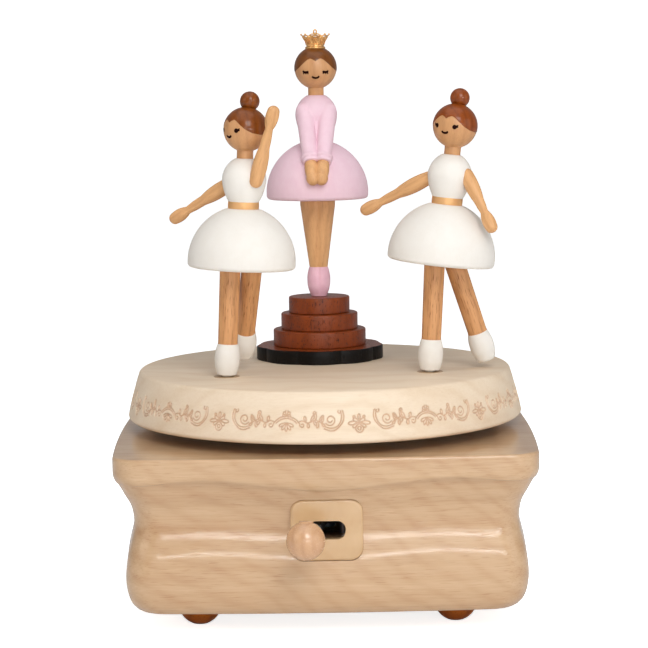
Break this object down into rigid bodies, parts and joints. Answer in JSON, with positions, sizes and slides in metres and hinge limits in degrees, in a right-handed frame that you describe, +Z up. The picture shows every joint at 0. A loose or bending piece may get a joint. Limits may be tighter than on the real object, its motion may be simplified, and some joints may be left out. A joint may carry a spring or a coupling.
{
  "type": "ballerina music box",
  "caption": "Wooden music box with a bombe square base, a start lever, and a round turntable carrying two spinning dancers and a crowned dancer on a stepped pedestal.",
  "frame": {"origin": "on the ground plane, under the turntable's axis and the middle of the base", "axes": "+Z up along the turntable's axis, -Y towards the front with the start lever, +X to the right seen from the front"},
  "size_m": [0.1326, 0.152, 0.1849],
  "materials": {
    "beech": "satin lacquer over pale beech",
    "maple": "satin, pale",
    "brown_wood": "satin",
    "dark_wood": "satin, reddish brown",
    "doll_wood": "satin, fine flecked grain",
    "hair_paint": "glossy brown paint on wood",
    "white_paint": "matte white paint on wood",
    "pink_paint": "matte pink paint on wood",
    "gold_paint": "satin metallic gold",
    "gold_metal": "polished, gold coloured",
    "tan_plate": "glossy tan",
    "tan_wood": "gloss lacquer",
    "steel": "machined",
    "brass": "machined",
    "cast_metal": "as cast",
    "gear_plastic": "moulded"
  },
  "bodies": {
    "base": {"base_block": "beech", "bottom_cover": "beech", "base_screws": "steel", "ball_feet": "brown_wood", "slot_plate": "tan_plate", "lever_pivot": "steel", "sun_gear": "gear_plastic", "spindle_bush": "brass", "movement_bedplate": "cast_metal", "comb": "steel", "comb_screws": "steel", "spring_arbor": "steel", "governor_bracket": "cast_metal"},
    "turntable": {"spindle": "steel", "spindle_screws": "steel", "spring_barrel": "brass", "mainspring": "steel", "turntable_disc": "maple", "foot_bushes": "brass", "scalloped_plate": "dark_wood", "pedestal_step_large": "dark_wood", "pedestal_step_middle": "dark_wood", "pedestal_step_small": "dark_wood", "legs_crowned": "doll_wood", "skirt_crowned": "pink_paint", "belt_crowned": "gold_paint", "bodice_crowned": "pink_paint", "crowned_arm_left": "pink_paint", "crowned_arm_right": "pink_paint", "head_crowned": "doll_wood", "crown": "gold_metal"},
    "dancer_left": {"planet_gear_left": "gear_plastic", "standing_leg_left": "doll_wood", "raised_leg_left": "doll_wood", "skirt_left": "white_paint", "belt_left": "gold_paint", "bodice_left": "white_paint", "arm_outstretched_left": "doll_wood", "arm_raised_left": "doll_wood", "head_left": "doll_wood", "bun_left": "hair_paint"},
    "dancer_right": {"planet_gear_right": "gear_plastic", "standing_leg_right": "doll_wood", "raised_leg_right": "doll_wood", "skirt_right": "white_paint", "belt_right": "gold_paint", "bodice_right": "white_paint", "arm_outstretched_right": "doll_wood", "arm_lowered_right": "doll_wood", "head_right": "doll_wood", "bun_right": "hair_paint"},
    "music_drum": {"music_cylinder": "brass", "cylinder_arbor": "steel", "cylinder_wheel": "brass"},
    "governor_gear": {"governor_wheel": "brass"},
    "governor_fly": {"governor_worm": "steel"},
    "lever": {"start_lever": "steel", "lever_knob": "tan_wood"}
  },
  "joints": [
    {"name": "turntable_spin", "type": "hinge", "parent": "base", "child": "turntable", "pos_m": [0, 0, 0.0595], "axis": [0, 0, 1], "continuous": true},
    {"name": "dancer_left_spin", "type": "hinge", "parent": "turntable", "child": "dancer_left", "pos_m": [-0.03087, -0.02301, 0.0749], "axis": [0, 0, 1], "continuous": true},
    {"name": "dancer_right_spin", "type": "hinge", "parent": "turntable", "child": "dancer_right", "pos_m": [0.03357, -0.01884, 0.0749], "axis": [0, 0, 1], "continuous": true},
    {"name": "drum_spin", "type": "hinge", "parent": "base", "child": "music_drum", "pos_m": [0.0135, -0.02338, 0.0321], "axis": [0.5, -0.866, 0], "continuous": true},
    {"name": "governor_wheel_spin", "type": "hinge", "parent": "base", "child": "governor_gear", "pos_m": [0.01307, -0.03864, 0.0261], "axis": [0.5, -0.866, 0], "continuous": true},
    {"name": "governor_worm_spin", "type": "hinge", "parent": "base", "child": "governor_fly", "pos_m": [0.02084, -0.0367, 0.0261], "axis": [0, 0, 1], "continuous": true},
    {"name": "start_lever_swing", "type": "hinge", "parent": "base", "child": "lever", "pos_m": [0, -0.036, 0.0333], "axis": [0, 0, 1], "range_deg": [0, 16]}
  ],
  "couplings": [
    {"joint": "dancer_left_spin", "follows": "turntable_spin", "ratio": 1.6552},
    {"joint": "dancer_right_spin", "follows": "turntable_spin", "ratio": 1.6552},
    {"joint": "drum_spin", "follows": "turntable_spin", "ratio": -2},
    {"joint": "governor_wheel_spin", "follows": "turntable_spin", "ratio": 6},
    {"joint": "governor_worm_spin", "follows": "turntable_spin", "ratio": -144}
  ]
}
